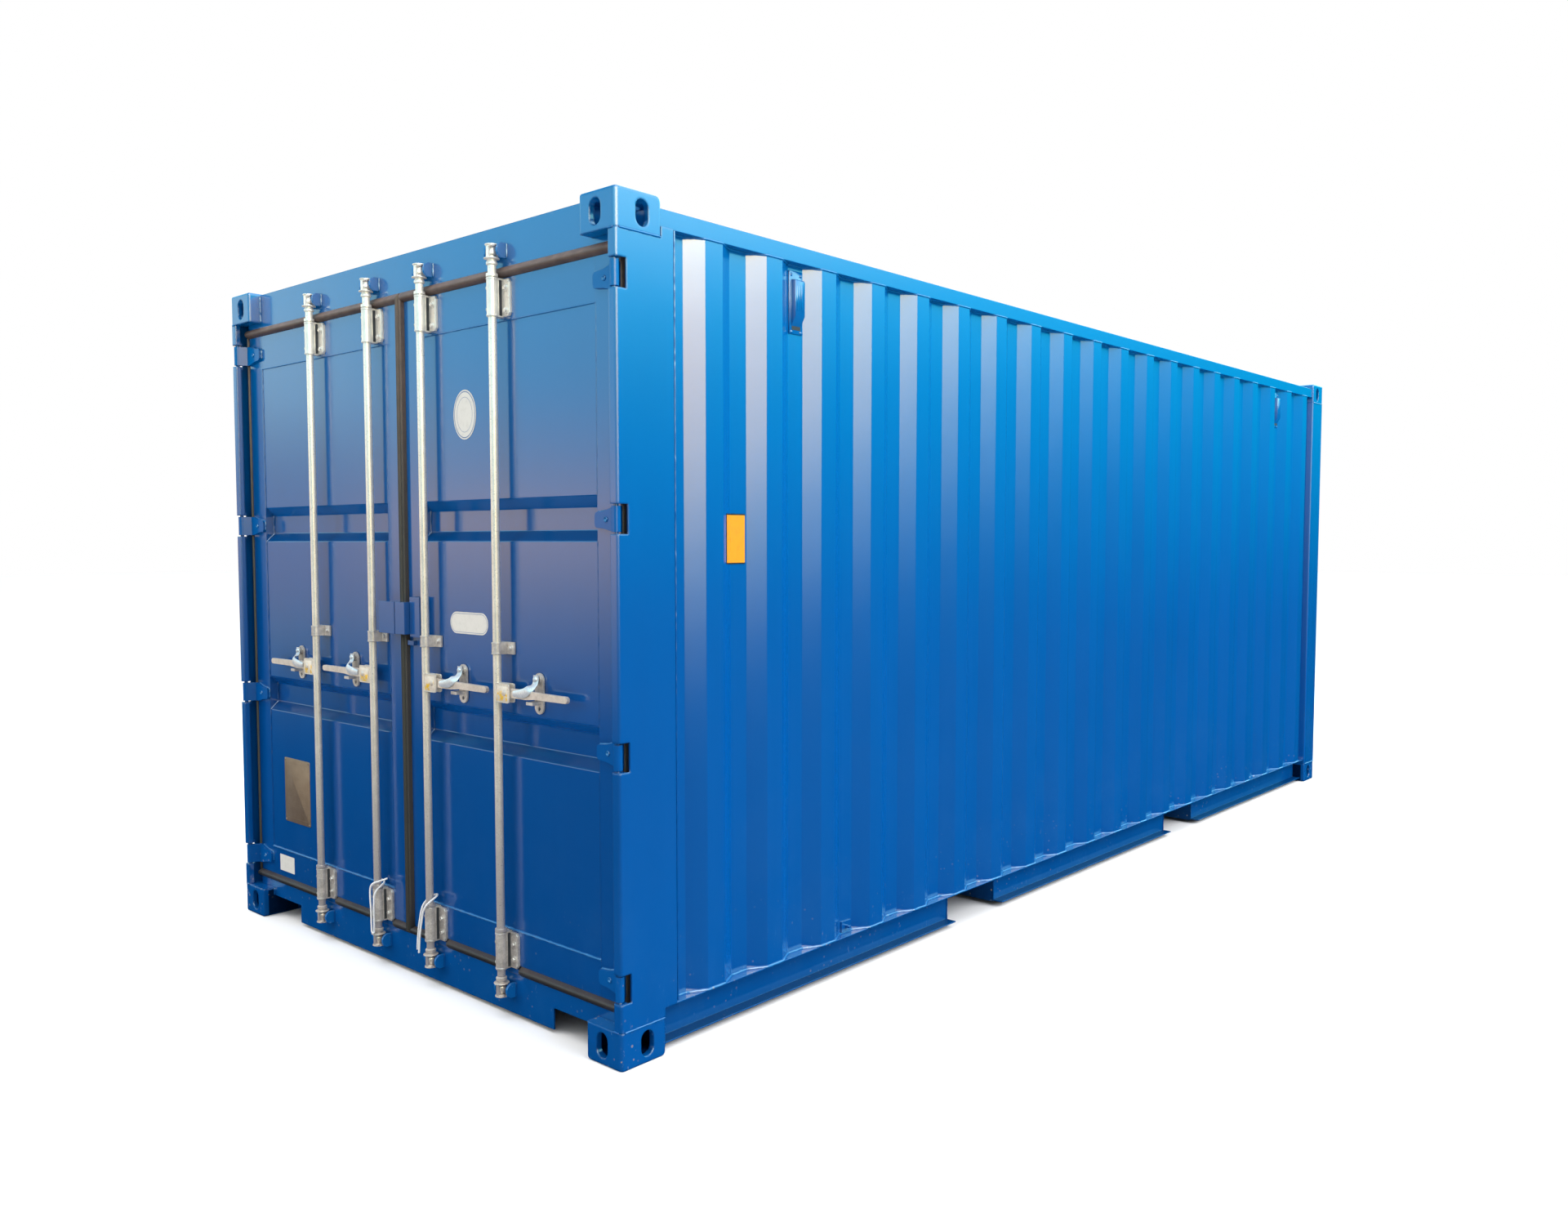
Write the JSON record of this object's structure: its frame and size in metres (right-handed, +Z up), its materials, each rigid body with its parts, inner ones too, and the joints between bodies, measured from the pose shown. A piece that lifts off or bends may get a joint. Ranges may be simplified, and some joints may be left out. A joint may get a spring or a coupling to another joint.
{
  "type": "shipping container",
  "caption": "Corrugated steel dry freight container with two hinged end doors, vertical lock bars with lift handles, corner fittings and fork pockets; the inside is hollow.",
  "frame": {"origin": "centre of the bounding box at ground level", "axes": "+Z up; long axis along Y with the door end at -Y; +X is the side wall the picture shows"},
  "size_m": [2.438, 6.067, 2.591],
  "materials": {
    "blue_paint": "semi-gloss deep blue paint",
    "zinc": "hot-dip galvanised, matt",
    "rubber": "dark brown-black seal",
    "ply": "varnished plywood boards",
    "rope": "white synthetic cord",
    "plastic": "blue moulded ventilator"
  },
  "bodies": {
    "container": {"top_corner_fittings": "blue_paint", "bottom_corner_fittings": "blue_paint", "rear_post_left": "blue_paint", "rear_post_right": "blue_paint", "hinge_lugs_left": "blue_paint", "hinge_lugs_right": "blue_paint", "front_post_left": "blue_paint", "front_post_right": "blue_paint", "top_side_rails": "blue_paint", "bottom_side_rail_left": "blue_paint", "bottom_side_rail_right": "blue_paint", "door_header": "blue_paint", "door_sill": "blue_paint", "front_end_rails": "blue_paint", "side_wall_left": "blue_paint", "side_wall_right": "blue_paint", "front_wall": "blue_paint", "roof_panel": "blue_paint", "floor_boards": "ply", "cross_members": "blue_paint", "fork_pockets": "blue_paint", "cam_keepers": "blue_paint", "ventilators": "plastic", "holdback_hooks": "blue_paint"},
    "left_door": {"door_left_stiles": "blue_paint", "door_left_rails": "blue_paint", "door_left_panel": "blue_paint", "door_left_gasket": "rubber", "door_left_hinge_blades": "blue_paint", "door_left_bar_brackets": "zinc", "door_left_handle_retainers": "zinc", "lock_box_left": "blue_paint", "tie_cord_left": "rope"},
    "right_door": {"door_right_stiles": "blue_paint", "door_right_rails": "blue_paint", "door_right_panel": "blue_paint", "door_right_gasket": "rubber", "door_right_hinge_blades": "blue_paint", "door_right_bar_brackets": "zinc", "door_right_handle_retainers": "zinc", "lock_box_right": "blue_paint", "tie_cord_right": "rope"},
    "lock_bar_1": {"lock_bar_1": "zinc"},
    "handle_1": {"handle_1": "zinc"},
    "lock_bar_2": {"lock_bar_2": "zinc"},
    "handle_2": {"handle_2": "zinc"},
    "lock_bar_3": {"lock_bar_3": "zinc"},
    "handle_3": {"handle_3": "zinc"},
    "lock_bar_4": {"lock_bar_4": "zinc"},
    "handle_4": {"handle_4": "zinc"}
  },
  "joints": [
    {"name": "left_door_hinge", "type": "hinge", "parent": "container", "child": "left_door", "pos_m": [-1.197, -3.015, 1.3], "axis": [0, 0, -1], "range_deg": [0, 264]},
    {"name": "right_door_hinge", "type": "hinge", "parent": "container", "child": "right_door", "pos_m": [1.197, -3.015, 1.3], "axis": [0, 0, 1], "range_deg": [0, 264]},
    {"name": "lock_bar_1_turn", "type": "hinge", "parent": "left_door", "child": "lock_bar_1", "pos_m": [-0.596, -3.01, 1.088], "axis": [0, 0, -1], "range_deg": [-110, 0]},
    {"name": "handle_1_lift", "type": "hinge", "parent": "lock_bar_1", "child": "handle_1", "pos_m": [-0.65, -3.01, 1.088], "axis": [0, -1, 0], "range_deg": [-25, 0]},
    {"name": "lock_bar_2_turn", "type": "hinge", "parent": "left_door", "child": "lock_bar_2", "pos_m": [-0.175, -3.01, 1.088], "axis": [0, 0, -1], "range_deg": [-110, 0]},
    {"name": "handle_2_lift", "type": "hinge", "parent": "lock_bar_2", "child": "handle_2", "pos_m": [-0.229, -3.01, 1.088], "axis": [0, -1, 0], "range_deg": [-25, 0]},
    {"name": "lock_bar_3_turn", "type": "hinge", "parent": "right_door", "child": "lock_bar_3", "pos_m": [0.175, -3.01, 1.088], "axis": [0, 0, 1], "range_deg": [-110, 0]},
    {"name": "handle_3_lift", "type": "hinge", "parent": "lock_bar_3", "child": "handle_3", "pos_m": [0.229, -3.01, 1.088], "axis": [0, 1, 0], "range_deg": [-25, 0]},
    {"name": "lock_bar_4_turn", "type": "hinge", "parent": "right_door", "child": "lock_bar_4", "pos_m": [0.596, -3.01, 1.088], "axis": [0, 0, 1], "range_deg": [-110, 0]},
    {"name": "handle_4_lift", "type": "hinge", "parent": "lock_bar_4", "child": "handle_4", "pos_m": [0.65, -3.01, 1.088], "axis": [0, 1, 0], "range_deg": [-25, 0]}
  ]
}
